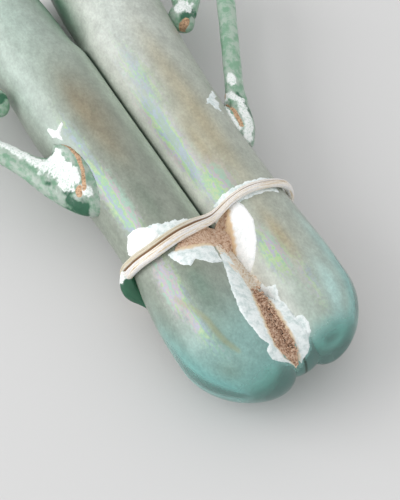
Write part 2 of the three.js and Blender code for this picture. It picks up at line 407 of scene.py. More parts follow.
def press_end(piece):
    """Flattens the right base end, where the pontil was cracked off."""
    for vertex in piece.data.vertices:
        point = vertex.co / MM
        along = point.y - BASE_Y
        if point.x < 0.5 or along > PONTIL["reach"]:
            continue
        lean, fall = PONTIL["lean"], PONTIL["fall"]
        middle = PONTIL["middle"]
        level = PONTIL["depth"] + lean * (point.z - middle) - fall * abs(point.x - middle)
        if along < level:
            share = PONTIL["flatness"] * step(0.5, 3, point.x)
            point.y = BASE_Y + blend(along, level, share)
            vertex.co = point * MM


def blown_unevenness(point):
    """How far free-blown glass strays from a true round, in swells about this wide."""
    swell = 17
    x, y, z = point / swell
    return 0.16 * ripple(x, y * 0.6, z) + 0.05 * ripple(3 * x, y, 3 * z + 7)


def blown_body(pair):
    """The pair with its pressed end, its two hollows and the unevenness of free blowing."""
    body = pair.copy()
    body.data = pair.data.copy()
    body.name = "blown_body"
    bpy.context.scene.collection.objects.link(body)
    press_end(body)
    for tube in (LEFT, RIGHT):
        hollow = inside(tube)
        carve(body, hollow, "DIFFERENCE")
        bpy.data.objects.remove(hollow)
    normals = [vertex.normal.copy() for vertex in body.data.vertices]
    for vertex, normal in zip(body.data.vertices, normals):  # all but the rim and the underside
        if vertex.co.z > 2 * MM and vertex.co.y < (BASE_Y + LENGTH - 6) * MM:
            vertex.co += normal * blown_unevenness(vertex.co / MM) * MM
    soften(body, 40)
    return body


# ---- weathering on the body, with painted light and shade ----

# The film that burial left on the glass, as thin leached layers, and how it looks there. Its pale mint,
# pearl, sea, milk and lichen looks are painted highlights and painted light, and its green grey and
# seam green looks are painted shade.
FILM = {
    "olive": "#949c8f",
    "dark_olive": "#7d897b",
    "brown": "#95866a",
    "golden": "#b5a98a",
    "grey": "#b2b8ac",
    "mint_highlight": "#b4c5bb",
    "pearl_highlight": "#d3dad4",
    "painted_light_milk": "#f0f1e8",
    "painted_light_lichen": "#cfdfcd",
    "sea": "#bfe3de",
    "teal": "#8fc0bc",
    "deep_teal": "#5aa5a2",
    "green_grey_painted_shade": "#799183",
    "gap_painted_shade_green": "#3f7a5c",
}
ALL_ROUND = 400  # a reach in degrees that goes right round a tube
FILM_AND_PAINTED_LIGHT_COLOURS = {name: Vector(colour(hexed)[:3]) for name, hexed in FILM.items()}
CROWN = {LEFT: "olive", RIGHT: "grey"}
# Painted light: each tube's flank by the seam is painted paler, standing in for light that reaches down
# into the groove.
PAINTED_LIGHT_BY_SEAM = {LEFT: "painted_light_lichen", RIGHT: "painted_light_milk"}

# Patches of film and of painted light and shade: tube, along, around, their reach along and around, the
# look and how strong. Mint, pearl and sea patches are painted highlights, green grey patches painted
# shade on the left lobe, and seam green patches the neck's green glass darkened by painted shade where
# the necks face each other across their gap.
FILM_AND_PAINTED_LIGHT_PATCHES = [
    (LEFT, 118, -10, 24, 75, "mint_highlight", 0.9),
    (LEFT, 100, -48, 16, 26, "mint_highlight", 0.8),
    (LEFT, 84, 6, 12, 22, "brown", 0.6),
    (LEFT, 85, -3, 9, 9, "brown", 0.5),
    (LEFT, 72, 0, 7, 12, "brown", 0.4),
    (LEFT, 34, -4, 4, 9, "brown", 0.5),
    # The neck's green glass, darkened by painted shade where the necks face each other across their
    # gap.
    (LEFT, 124, 76, 17, 30, "gap_painted_shade_green", 0.9),
    (LEFT, 53, -4, 7, 10, "dark_olive", 0.9),
    (LEFT, 80, -46, 9, 15, "mint_highlight", 0.9),
    (LEFT, 9, 0, 12, ALL_ROUND, "teal", 0.75),
    # Painted shade on the top of the left lobe, here and in the next two.
    (LEFT, 27, -6, 8, 12, "green_grey_painted_shade", 0.9),
    (LEFT, 15, -22, 7, 9, "green_grey_painted_shade", 0.6),
    (LEFT, 7, -46, 3, 15, "green_grey_painted_shade", 0.6),
    (LEFT, 9, -82, 17, 20, "deep_teal", 0.8),
    (LEFT, 2, 0, 3.5, ALL_ROUND, "deep_teal", 0.6),
    (RIGHT, 105, -10, 18, 45, "pearl_highlight", 0.8),
    (RIGHT, 66, 4, 20, 16, "golden", 0.75),
    (RIGHT, 61, -16, 10, 9, "golden", 0.7),
    (RIGHT, 88, 2, 12, 12, "golden", 0.4),
    # The neck's green glass, darkened by painted shade where the necks face each other across their
    # gap.
    (RIGHT, 124, -78, 17, 24, "gap_painted_shade_green", 0.9),
    (RIGHT, 12, -25, 12, 24, "mint_highlight", 0.7),
    (RIGHT, 12, 18, 9, 15, "sea", 0.9),
    (RIGHT, 26, 45, 10, 14, "sea", 0.5),
    (RIGHT, 12, 52, 14, 17, "teal", 0.95),
    (RIGHT, 30, -2, 8, 9, "golden", 0.9),
    (RIGHT, 12, -52, 7, 11, "pearl_highlight", 0.7),
    (RIGHT, 3, 0, 3.8, ALL_ROUND, "deep_teal", 0.95),
]
# Where the film shows rainbow colours, as tube, along, around, reaches and strength. They lie where the
# lamp's reflection falls on the flanks, so they are partly the film's own colours and partly painted
# sheen.
RAINBOW_SHEEN_PATCHES = [
    (LEFT, 58, -37, 14, 13, 1.0),
    (LEFT, 78, -31, 9, 8, 0.5),
    (LEFT, 31, -36, 8, 13, 0.9),
    (LEFT, 21, -33, 9, 9, 0.6),
    (RIGHT, 68, -44, 17, 14, 0.95),
    (RIGHT, 50, -28, 7, 20, 0.8),
    (RIGHT, 86, -32, 12, 18, 0.45),
    (RIGHT, 27, -22, 7, 14, 0.75),
    (RIGHT, 17, -4, 8, 12, 0.35),
]
# Where the film is gone and the clear glass shows.
BARE_PATCHES = [
    (LEFT, 0, 0, 5, ALL_ROUND, 0.8),
    (LEFT, 9, -88, 18, 16, 0.8),
    (RIGHT, 1, 0, 5.5, ALL_ROUND, 1.0),
    (RIGHT, 12, 66, 15, 18, 0.7),
]
# A raised line of film down the left base end, as points along and around.
RIDGE = [(28, -38), (23.8, -28), (19, -21), (12.6, -20), (9.5, -17)]
ARC = 0.19  # millimetres round a tube for each degree


def patch_strength(along, around, patch):
    """How strongly a patch covers a place, from its along, around and two reaches."""
    at_along, at_around, long_reach, round_reach = patch
    off_along, off_around = abs(along - at_along), abs(around - at_around)
    if off_along > 2.4 * long_reach or off_around > 2.4 * round_reach:
        return 0.0
    return bell(off_along, long_reach) * bell(off_around, round_reach)


def film_and_painted_light_look(point):
    """The film's colour at a point on the body, with its painted highlights, painted light and painted
    shade.
    """
    tube = tube_at(point)
    along, around, _ = tube.place(point)
    # Painted light: the flank by the seam grows paler.
    seamward_painted_light = step(25, 66, -tube.side * around)
    look = FILM_AND_PAINTED_LIGHT_COLOURS[CROWN[tube]].lerp(FILM_AND_PAINTED_LIGHT_COLOURS[PAINTED_LIGHT_BY_SEAM[tube]], seamward_painted_light)
    for home, *patch, name, strength in FILM_AND_PAINTED_LIGHT_PATCHES:
        if home is tube:
            share = strength * patch_strength(along, around, patch)
            look = look.lerp(FILM_AND_PAINTED_LIGHT_COLOURS[name], share)
    return look


def cover(point, patches):
    """How strongly any of the patches covers a point on the body."""
    tube = tube_at(point)
    along, around, _ = tube.place(point)
    most = 0.0
    for home, *patch, strength in patches:
        if home is tube:
            most = max(most, strength * patch_strength(along, around, patch))
    return most


def on_ridge(point):
    """1 on the raised line of film."""
    if point.x > 0 or point.y > BASE_Y + 32:
        return 0.0
    along, around, _ = LEFT.place(point)
    flat = Vector((along, around * ARC, 0))
    return bell(distance_to_line(flat, [(a, b * ARC, 0) for a, b in RIDGE]), 0.8)


def on_inner_wall(point):
    """1 on the hollow's side of the wall."""
    tube = tube_at(point)
    along, _, out = tube.place(point)
    radius, _ = tube.shape(max(along, tube.start))
    if along > LENGTH - RIM["fold"] - 2:
        return 1.0 if out < RIM["mouth"] + 1.2 else 0.0
    return 1.0 if along > BASE_WALL - 1 and out < radius - 0.5 * WALL else 0.0


def weather(body):
    """Stores what burial did to each point of the body, and the light and shade painted into its film,
    for its material to read.
    """
    attribute(body, "rainbow", lambda point: cover(point, RAINBOW_SHEEN_PATCHES))
    attribute(body, "bare", lambda point: cover(point, BARE_PATCHES))
    attribute(body, "ridge", on_ridge)
    attribute(body, "inner", on_inner_wall)
    layer = body.data.attributes.new("film", "FLOAT_COLOR", "POINT")
    looks = []
    for vertex in body.data.vertices:
        looks.extend((*film_and_painted_light_look(vertex.co / MM), 1.0))
    layer.data.foreach_set("color", looks)


# ---- the wound trail ----

TRAIL_HALF_HEIGHT = 1.15
TRAIL_SAG = 3.4  # how far it dips over the groove
TRAIL_SPACING = 0.5  # between the points of its middle line
TRAIL_RUN = [  # tube, around, along
    (LEFT, -90, 44.0),
    (LEFT, -58, 42.4),
    (LEFT, -28, 41.0),
    (LEFT, 0, 41.2),
    (LEFT, 24, 42.0),
    (None, 0, 43.2),  # over the groove
    (RIGHT, -24, 44.0),
    (RIGHT, 0, 44.0),
    (RIGHT, 28, 43.6),
    (RIGHT, 58, 43.8),
    (RIGHT, 90, 44.0),
]


def trail_path():
    """The trail's middle line, round both tubes and over the groove above and below."""
    clear = 0.3 + 0.75 * TRAIL_HALF_HEIGHT
    above = []
    for tube, around, along in TRAIL_RUN:
        if tube:
            above.append(tube.point(along, around, clear))
        else:
            radius, _ = LEFT.shape(along)
            above.append(Vector((0, BASE_Y + along, AXIS_HEIGHT + radius + clear - TRAIL_SAG)))
    below = [Vector((p.x, p.y, 2 * AXIS_HEIGHT - p.z)) for p in reversed(above[1:-1])]
    return path_through(above + below, TRAIL_SPACING, closed=True)


TRAIL_PATH = trail_path()
TRAIL_TREE = kdtree.KDTree(len(TRAIL_PATH))
for spot, here in enumerate(TRAIL_PATH):
    TRAIL_TREE.insert(here, spot)
TRAIL_TREE.balance()
LENGTHWISE = Vector((0, 1, 0))


def trail_half_width(x):
    """Two strands lie side by side on the left, and one stretched thin on the right."""
    return blend(2.0, 1.1, step(-9, 5, x))


# The folds beside the main one: how far off, how deep and how wide, in half widths.
SIDE_CREASES = ((0.48, 0.3, 0.08), (-0.42, 0.26, 0.09), (-0.72, 0.16, 0.06))


def trail_creases(across, spot):
    """How deep the folds of the drawn glass are, from one edge (-1) to the other (1)."""
    share = step(6, -8, TRAIL_PATH[spot % len(TRAIL_PATH)].x)
    main = 0.12 + 0.2 * ripple(spot / 45, 8)
    deep = blend(0.4, 0.75, share) * bell(across - main, 0.15)
    for offset, depth, width in SIDE_CREASES:
        wander = 0.1 * ripple(spot / 22, offset * 9)
        deep += depth * bell(across - main - offset - wander, width)
    return deep


def trail_band():
    """Glass drawn into a thread and wound on hot, so that it lies in folded strands."""
    count = len(TRAIL_PATH)

    def place(u, v):
        spot = round(u * count) % count
        here, ahead = TRAIL_PATH[spot], TRAIL_PATH[(spot + 1) % count]
        outward = (ahead - TRAIL_PATH[spot - 1]).cross(LENGTHWISE).normalized()
        turn = 2 * math.pi * v
        width = trail_half_width(here.x) * (1 + 0.12 * ripple(spot / 26, 3))
        across, rise = math.cos(turn), math.sin(turn)
        height = blend(TRAIL_HALF_HEIGHT, 0.95, step(-9, 5, here.x)) * (1 + 0.1 * ripple(spot / 18, 5))
        if rise > 0:
            height *= 1.08 - 0.85 * trail_creases(across, spot)
        point = here + LENGTHWISE * width * across + outward * height * rise
        point.z = max(point.z, 0)
        return point

    band = finished("trail_band", grid(count, 64, place))

    def strand(point):
        here, spot, _ = TRAIL_TREE.find(point)
        return (point - here).y / trail_half_width(here.x)

    def crease(point):
        return min(1.0, 1.5 * trail_creases(strand(point), TRAIL_TREE.find(point)[1]))

    attribute(band, "across", strand)
    attribute(band, "run", lambda point: TRAIL_TREE.find(point)[1] * TRAIL_SPACING)
    attribute(band, "crease", crease)
    return band


DROP_PATH = [(-21.9, 45.2, 14.6), (-22.7, 43.2, 13.2), (-23.0, 40.4, 11.6), (-22.3, 37.6, 10.6)]
DROP_TIP = (-21.6, 35.4, 10.0)
# The drop's widest radius, the shares of its length where its round head ends and where it
# starts to thin, and how much it thins.
DROP = {"radius": 2.3, "head": 0.42, "waist": 0.45, "thins": 0.82}


def drop_radius(share):
    """The drop's radius from its round head (0) to its point (1)."""
    if share >= 0.995:
        return 0.0
    head = 1 - min(1.0, share / DROP["head"])
    return DROP["radius"] * math.sqrt(1 - head**2) * (1 - DROP["thins"] * step(DROP["waist"], 1, share))


def trail_drop():
    """The gather of glass that the trail was drawn from, left as a drop with a point."""
    line = path_through([*DROP_PATH, DROP_TIP], 0.25)
    line = [Vector((p.x, BASE_Y + p.y, p.z)) for p in line]
    last = len(line) - 1

    def place(u, v):
        spot = round(v * last)
        share = spot / last
        angle = 2 * math.pi * u
        side = Vector((math.cos(angle), 0, math.sin(angle)))
        lump = 1 + 0.1 * ripple(4 * share, 2 * math.cos(angle), 2 * math.sin(angle))
        return line[spot] + side * drop_radius(share) * lump

    drop = finished("trail_drop", grid(40, last, place))
    attribute(drop, "crust", lambda p: step(41.6, 43.0, p.y - BASE_Y + 0.8 * ripple(p.x, p.y, p.z)))
    attribute(drop, "soil", lambda p: 0.0)
    attribute(drop, "dark", lambda p: 1.0)
    return drop


# ---- the handles ----

HANDLE_HEIGHT = 15.2
FOOT_END = 90  # how far along the feet reach
FOOT_RINGS = 6  # rings made for each one given below
HANDLE_VOXEL = 0.36
STRAP = {"half_width": 2.35, "half_height": 1.7}
LOWER_LOOP = [
    (23.4, 71),
    (27.2, 78.6),
    (32.2, 88.6),
    (38.4, 101),
    (42.6, 110),
    (43.2, 116),
    (40.2, 118.6),
    (36.8, 115.4),
    (32.4, 108),
    (28, 102.6),
]
UPPER_LOOP = [(27.4, 102), (29.4, 109), (31.6, 117), (32.6, 125), (30.4, 131.6), (24.8, 133.8)]
FAR_AWAY = 30  # a line further off than this is on the other side of the object
MIDDLE_PAD = {"out": 26.2, "along": 102.4, "half_length": 4.2, "radius": 3.1}
# The feet, as rings of: out, along, height, half length, half height and turn.
LEFT_FOOT = [
    (14, 72.6, 16.4, 12.8, 5.2, 0),
    (19.6, 72.6, 16, 12.8, 4.8, 0),
    (22.4, 73, 15.2, 10.6, 3.8, 6),
    (24.9, 75.2, 15.2, 6.6, 2.8, 24),
    (27.6, 80, 15.2, 3.6, 2.1, 56),
    (32.2, 88.6, 15.2, 2.6, 1.75, 62),
]
RIGHT_FOOT = [
    (14, 66, 15.4, 7.6, 3.8, 0),
    (19.4, 66, 15.2, 7.6, 3.7, 0),
    (21.9, 67, 15.2, 5.6, 3, 10),
    (23.6, 70, 15.2, 3.2, 2.3, 42),
    (25.6, 75.2, 15.2, 2.5, 1.8, 62),
]
# The clefts that run down the two feet, as points of x, along and height.
LEFT_CREVICE = [
    (-20.0, 82.4, 19),
    (-18.8, 78.3, 19),
    (-18.4, 74.4, 19),
    (-19.3, 70.2, 19),
    (-21.2, 66, 18),
]
RIGHT_SLIT = [(21.5, 72.4, 16.6), (21.3, 68.6, 16.6), (20.5, 64.0, 16.4)]
# Crust, soil and dark glass on the handles, as lines seen from above, of points (x, along),
# and how far each one spreads.
HANDLE_CRUST = [
    ([(-23.4, 75.6), (-22.8, 70.5)], 2.6),
    ([(-25.6, 77.6), (-22.5, 78.5)], 1.7),
    ([(-31.2, 90.6), (-28.3, 84.4), (-26.4, 79.6)], 1.2),
    ([(-21.6, 66.4), (-20.4, 64.6)], 0.9),
    ([(20.4, 73.2), (23.2, 74.6), (24.4, 71.3)], 1.0),
    ([(24.4, 71.3), (23.0, 64.8), (20.6, 60.8)], 1.1),
    ([(19.6, 72.4), (19.3, 68.2), (19.4, 63.3)], 0.9),
    ([(26.6, 79.2), (26.0, 77.0)], 1.1),
    ([(28.2, 104.4), (27.0, 103.4)], 2.0),
    ([(-27.6, 104.4), (-26.0, 103.4)], 1.6),
]
HANDLE_SOIL = [
    (LEFT_CREVICE, 0.5),
    (RIGHT_SLIT, 0.6),
    ([(-22.2, 67.0), (-22.6, 66.0)], 0.8),
    ([(23.0, 76.6), (21.8, 74.6)], 0.5),
    ([(25.9, 99.6), (24.6, 99.2)], 0.9),
    ([(-24.2, 104.6), (-24.0, 106.2)], 0.8),
]
DARK_GLASS = [
    ([(-25.2, 66.6), (-23.0, 62.9)], 1.1),
    ([(-24.6, 69.2), (-24.4, 68.2)], 0.9),
    ([(-23.4, 80.8), (-22.4, 80.6)], 0.7),
    ([(-27.2, 73.6), (-26.8, 72.9)], 0.5),
    ([(25.4, 73.8), (24.9, 66.4)], 0.5),
    ([(29.0, 101.8), (26.0, 100.8)], 1.1),
    ([(-26.4, 100.8), (-24.6, 101.6)], 1.2),
]


def loft(name, rings, columns):
    """A closed skin through rings of (centre, across, up), drawn to a point at both ends."""
    rings = [(rings[0][0], Vector(), Vector()), *rings, (rings[-1][0], Vector(), Vector())]

    def place(u, v):
        centre, across, up = rings[round(v * (len(rings) - 1))]
        angle = 2 * math.pi * u
        return centre + across * math.cos(angle) + up * math.sin(angle)

    return finished(name, grid(columns, len(rings) - 1, place))


def strap(side, points):
    """A drawn trail of oval section that runs level through points (out, along)."""
    line = path_through([(side * x, BASE_Y + along, HANDLE_HEIGHT) for x, along in points], 0.6)
    rings = []
    for spot, here in enumerate(line):
        run = line[min(spot + 1, len(line) - 1)] - line[max(spot - 1, 0)]
        across = run.normalized().cross(Vector((0, 0, 1))) * STRAP["half_width"]
        swell = 1 + 0.06 * ripple(spot / 12, side * 5)
        rings.append((here, across * swell, Vector((0, 0, STRAP["half_height"] * swell))))
    return loft("strap", rings, 32)


def foot(side, places):
    """A handle's foot, a funnel from the side of the tube out to the strap."""
    rows = [(i, *place) for i, place in enumerate(places)]
    rings = []
    for j in range(FOOT_RINGS * (len(places) - 1) + 1):
        out, along, height, half_length, half_height, turn = smooth_value(rows, j / FOOT_RINGS)
        angle = math.radians(turn)
        across = Vector((-side * math.sin(angle), math.cos(angle), 0)) * half_length
        centre = Vector((side * out, BASE_Y + along, height))
        rings.append((centre, across, Vector((0, 0, half_height))))
    return loft("foot", rings, 40)


def pad(side):
    """Where the trail was pressed on beside the neck, between the two loops."""
    bm = bmesh.new()
    bmesh.ops.create_uvsphere(bm, u_segments=32, v_segments=20, radius=MIDDLE_PAD["radius"])
    stretch = MIDDLE_PAD["half_length"] / MIDDLE_PAD["radius"]
    bmesh.ops.scale(bm, vec=(1, stretch, 1), verts=bm.verts)
    centre = (side * MIDDLE_PAD["out"], BASE_Y + MIDDLE_PAD["along"], HANDLE_HEIGHT)
    bmesh.ops.translate(bm, vec=centre, verts=bm.verts)
    return finished("pad", bm)


def joined(name, parts):
    """One object of several parts that overlap."""
    bm = bmesh.new()
    for part in parts:
        bm.from_mesh(part.data)
        bpy.data.objects.remove(part)
    mesh = bpy.data.meshes.new(name)
    bm.to_mesh(mesh)
    bm.free()
    piece = bpy.data.objects.new(name, mesh)
    bpy.context.scene.collection.objects.link(piece)
    return piece


def raised(place):
    """A point in space from x, along and height."""
    x, along, height = place
    return Vector((x, BASE_Y + along, height))


def near_lines(point, lines, fray, soft=0.35):
    """How close a point on a handle's upper side is to any of the lines, seen from above, as 0
    to 1. The edge of what they mark is frayed."""
    if point.z < HANDLE_HEIGHT - 0.5:
        return 0.0
    closest = 0.0
    wobble = fray * (ripple(*(point / 1.7)) + 0.6 * ripple(*(point / 0.6)))
    flat = Vector((point.x, point.y, 0))
    for line, reach in lines:
        line = [Vector((x, BASE_Y + along, 0)) for x, along, *_ in line]
        if (flat - line[0]).length > FAR_AWAY:
            continue
        edge = reach * (1 + wobble) - distance_to_line(flat, line)
        closest = max(closest, step(-soft, soft, edge))
    return closest


def handle(name, side, foot_places, pair):
    """One handle, cut back to the outside of the two filled tubes."""
    parts = [strap(side, LOWER_LOOP), strap(side, UPPER_LOOP), foot(side, foot_places), pad(side)]
    piece = joined(name, parts)
    fuse(piece, HANDLE_VOXEL, 6)
    carve(piece, pair, "DIFFERENCE")
    normals = [vertex.normal.copy() for vertex in piece.data.vertices]
    cleft = [raised(place) for place in (RIGHT_SLIT if side > 0 else LEFT_CREVICE)]
    for vertex, normal in zip(piece.data.vertices, normals):
        point = vertex.co / MM
        lift = 0.28 * near_lines(point, HANDLE_CRUST, 0.5) + 0.08 * ripple(*(point / 0.9))
        if point.y < BASE_Y + FOOT_END:
            away = distance_to_line(point, cleft)
            lift += 0.35 * bell(away - 1.5, 0.6) - bell(away, 0.6)
        vertex.co += normal * lift * MM
    attribute(piece, "crust", lambda point: near_lines(point, HANDLE_CRUST, 0.6, 1.0))
    attribute(piece, "soil", lambda point: near_lines(point, HANDLE_SOIL, 0.3))
    attribute(piece, "dark", lambda point: near_lines(point, DARK_GLASS, 0.6, 0.8))
    soften(piece)
    return piece


# ---- crust and soil on the body ----


class Skin:
    """The outside of the finished body, which crust and soil lie on."""

    def __init__(self, body):
        bm = bmesh.new()
        bm.from_mesh(body.data)
        bmesh.ops.scale(bm, vec=(1 / MM, 1 / MM, 1 / MM), verts=bm.verts)
        self.tree = BVHTree.FromBMesh(bm)
        bm.free()

    def beside(self, tube):
        """Finds places from how far along a tube and how far round it, in millimetres."""

        def at(along, arc):
            start = tube.point(along, arc / ARC, 3)
            inward = tube.point(along, arc / ARC) - start
            spot, normal, _, _ = self.tree.ray_cast(start, inward.normalized())
            return (spot, normal) if spot else (tube.point(along, arc / ARC, -1), -inward / 3)

        return at

    def above(self, along, x):
        """Finds the place straight below x, for the groove between the tubes."""
        start, down = Vector((x, BASE_Y + along, 40)), Vector((0, 0, -1))
        spot, normal, _, _ = self.tree.ray_cast(start, down)
        return (spot, normal) if spot else (Vector((x, start.y, AXIS_HEIGHT)), -down)


def inside_by(a, b, outline):
    """How far inside an outline a place is. Outside it is less than 0."""
    inside = False
    nearest = math.inf
    for (a0, b0), (a1, b1) in zip(outline, outline[1:] + outline[:1]):
        run = (a1 - a0) ** 2 + (b1 - b0) ** 2
        share = min(1.0, max(0.0, ((a - a0) * (a1 - a0) + (b - b0) * (b1 - b0)) / run))
        nearest = min(nearest, math.hypot(a0 + share * (a1 - a0) - a, b0 + share * (b1 - b0) - b))
        if (b0 > b) != (b1 > b) and a < a0 + (a1 - a0) * (b - b0) / (b1 - b0):
            inside = not inside
    return nearest if inside else -nearest


# A sheet's rim stops this far under the skin, and it ends where its top is lower than BURIED.
RIM_LEVEL = -0.35
BURIED = -0.3
SHEET_THICKNESS = 0.3


def as_key(point):
    """A point rounded so that a set can find it again."""
    return tuple(round(part, 3) for part in point)


def sheet(name, at, outline, spacing, lift_at):
    """A thin closed slab on the skin. at(a, b) finds a place, and lift_at(a, b, inside_by)
    says how far above the skin its top is. Where that is under the skin, the slab ends."""
    lows = [min(place[k] for place in outline) - 1.0 for k in (0, 1)]
    highs = [max(place[k] for place in outline) + 1.0 for k in (0, 1)]
    columns, rows = [round((high - low) / spacing) for low, high in zip(lows, highs)]
    buried = set()

    def place(u, v):
        a, b = blend(lows[0], highs[0], u), blend(lows[1], highs[1], v)
        spot, normal = at(a, b)
        lift = lift_at(a, b, inside_by(a, b, outline))
        point = spot + normal * lift
        if lift <= BURIED:
            buried.add(as_key(point))
        return point

    bm = grid(columns, rows, place, merge=0.0001)
    lost = [face for face in bm.faces if all(as_key(vert.co) in buried for vert in face.verts)]
    bmesh.ops.delete(bm, geom=lost, context="FACES")
    for face in bm.faces:  # crust and soil lie on top, so a face that looks down is inside out
        if face.normal.z < -0.2:
            face.normal_flip()
    bm.normal_update()
    sunk = bmesh.ops.extrude_face_region(bm, geom=bm.faces[:])["geom"]
    for vert in [part for part in sunk if isinstance(part, bmesh.types.BMVert)]:
        vert.co -= vert.normal * SHEET_THICKNESS
    bmesh.ops.recalc_face_normals(bm, faces=bm.faces)
    return finished(name, bm)


def crust_lift(thickness, fray, seed):
    """The top of a flake of crust, which is nearly flat, with a torn and thinning edge."""

    def lift(a, b, inside):
        tear = ripple(a / 1.5, b / 1.5, seed) + 0.55 * ripple(a / 0.5, b / 0.5, seed)
        edge = inside + fray * tear
        top = thickness * (1 + 0.4 * ripple(a / 1.9, b / 1.9, seed + 3))
        top += 0.05 * ripple(a / 0.4, b / 0.4, seed + 5)
        return max(RIM_LEVEL, min(top, 0.9 * edge))

    return lift


def in_millimetres(places):
    """An outline on a tube, of along and around, with around turned to millimetres."""
    return [(along, around * ARC) for along, around in places]


# Outlines on a tube: along and around. Outlines seen from above: along and x.
CHALK_BY_TRAIL = [
    (49.6, -52),
    (49.6, -41),
    (48.4, -27),
    (46.6, -17),
    (44, -14),
    (42, -36),
    (42.4, -63),
    (47.1, -65),
]
BAND_LEFT = [
    (47.4, -26),
    (47.0, -12),
    (46.2, 0),
    (45.4, 19),
    (44.8, 44),
    (42, 46),
    (41.4, 10),
    (42, -26),
]
BAND_RIGHT = [
    (46.9, -50),
    (46.8, -32),
    (46.9, -8),
    (46.5, 14),
    (46.4, 42),
    (43, 46),
    (43, -4),
    (43, -50),
]
HEM_RIGHT = [(44, -64), (44, 40), (41.6, 41), (42.2, 22), (42.4, -6), (43.0, -30)]
SLAB_BELOW = [
    (38.6, -20),
    (38.4, 0),
    (37.6, 19),
    (37.2, 40),
    (31, 37),
    (31.2, 22),
    (33.8, 6),
    (32.7, -3),
    (34.5, -12),
    (37.2, -19),
]
CHALK_OVAL = [
    (43.5, 6.6),
    (41.7, 7.4),
    (37.1, 7.3),
    (32.1, 5.2),
    (28.9, 2.8),
    (27.6, 0.9),
    (29.5, 0.2),
    (34, 0.1),
    (37.5, 1.6),
    (40, 1.4),
    (41.5, 2.6),
    (43.5, 4.1),
]
STRIP_LEFT = [
    (34.5, -3.6),
    (30.5, -4.6),
    (26.3, -6.0),
    (22, -7.3),
    (17.2, -8.4),
    (13.3, -8.4),
    (9.5, -7.8),
    (7.7, -6.6),
    (6.4, -8.0),
    (4.5, -7.6),
    (3.5, -5.4),
    (2.7, -2.4),
    (2.9, -2.0),
    (4.4, -4.6),
    (7.2, -5.2),
    (10.9, -4.5),
    (15.5, -3.6),
    (20, -2.5),
    (23.4, -2.4),
    (34.5, -1.2),
]
STRIP_RIGHT = [
    (23.5, 1.3),
    (22, 1.6),
    (20.6, 3.2),
    (17.7, 2.4),
    (13.8, 2.6),
    (11.6, 2.8),
    (10.7, 4.2),
    (8.5, 4.5),
    (7.1, 4.0),
    (6.5, 3.1),
    (4.5, 2.4),
    (2.7, -1.0),
    (3.4, -1.4),
    (6, -0.5),
    (9, -0.9),
    (13, -0.9),
    (18, -0.5),
    (23, 0),
]
GROOVE_FILL = [
    (37.2, -3.4),
    (37.6, 0.4),
    (28.4, 0.9),
    (24, 1.4),
    (22, 0),
    (21.6, -2.4),
    (27, -3.4),
    (31, -3.8),
]
LOWER_SOIL = [
    (24.2, -0.6),
    (21.5, 0.2),
    (17, 0.2),
    (12, -0.3),
    (8, -0.4),
    (5, -0.8),
    (2.9, -1.6),
    (2.7, -2.3),
    (4.2, -4.3),
    (7.2, -5.4),
    (10.9, -4.9),
    (15.5, -4.0),
    (20, -2.9),
    (23.6, -1.6),
]
UPPER_SOIL = [
    (41.5, -9.6),
    (42.6, -3),
    (43.2, 1.6),
    (43.2, 4.2),
    (38.8, 2.4),
    (35, 1.2),
    (33.6, 0.2),
    (35.4, -2.4),
    (36.8, -5.4),
    (37.2, -9.8),
    (38.4, -12.6),
]
FOOT_CHALK = [(84.6, -28), (83.6, -43), (86.4, -55), (83.6, -55), (80.2, -45), (82.4, -43), (83.2, -38)]
FOOT_PATCH = [(71.6, 24), (73.4, 36), (76.2, 52), (72.3, 46), (68.0, 39), (69.8, 30)]


def crust_pieces(skin):
    """The white crust, as flakes that still hold to the glass."""
    flakes = [
        ("chalk_by_trail", skin.beside(LEFT), CHALK_BY_TRAIL, 0.34, 0.35, 1),
        ("crust_band_left", skin.beside(LEFT), BAND_LEFT, 0.2, 0.8, 2),
        ("crust_band_right", skin.beside(RIGHT), BAND_RIGHT, 0.2, 0.6, 3),
        ("crust_hem_right", skin.beside(RIGHT), HEM_RIGHT, 0.16, 0.4, 4),
        ("crust_slab_below", skin.beside(LEFT), SLAB_BELOW, 0.22, 0.35, 5),
        ("foot_chalk_left", skin.beside(LEFT), FOOT_CHALK, 0.3, 0.5, 6),
        ("foot_patch_right", skin.beside(RIGHT), FOOT_PATCH, 0.12, 0.9, 7),
    ]
    pieces = []
    for name, at, places, thickness, fray, seed in flakes:
        outline = in_millimetres(places)
        pieces.append(sheet(name, at, outline, 0.3, crust_lift(thickness, fray, seed)))
    in_groove = [
        ("chalk_oval", CHALK_OVAL, 0.3, 0.15, 8),
        ("crust_strip_left", STRIP_LEFT, 0.24, 0.25, 9),
        ("crust_strip_right", STRIP_RIGHT, 0.24, 0.3, 10),
    ]
    for name, outline, thickness, fray, seed in in_groove:
        pieces.append(sheet(name, skin.above, outline, 0.24, crust_lift(thickness, fray, seed)))
    return pieces


# The heights that soil reaches, and how strongly the lower soil bulges about its middle line.
SOIL = {"upper": 18.4, "lower": 20.1, "lower_tip": 18.6, "under_slab": 17.6, "bulge": 0.036}
LOWER_SOIL_MIDDLE = -2.5


def soil_level(along, x):
    """The height that soil fills the groove to."""
    if along > 30:
        return SOIL["upper"]
    level = blend(SOIL["lower_tip"], SOIL["lower"], step(3, 12, along))
    return level - SOIL["bulge"] * (x - LOWER_SOIL_MIDDLE) ** 2


def soil_lift(skin, level, grain):
    """Soil fills the groove to a level, and has a rough top."""

    def lift(along, x, inside):
        spot, normal = skin.above(along, x)
        rough = grain * (ripple(along / 0.7, x / 0.7) + 0.7 * ripple(along / 0.3, x / 0.3, 4))
        fill = (level(along, x) - spot.z) / max(0.35, normal.z)
        top = max(0.22, min(fill, 2.5)) + rough
        return max(RIM_LEVEL, min(top, 0.9 * inside + 0.3 * ripple(along / 0.8, x / 0.8, 9)))

    return lift


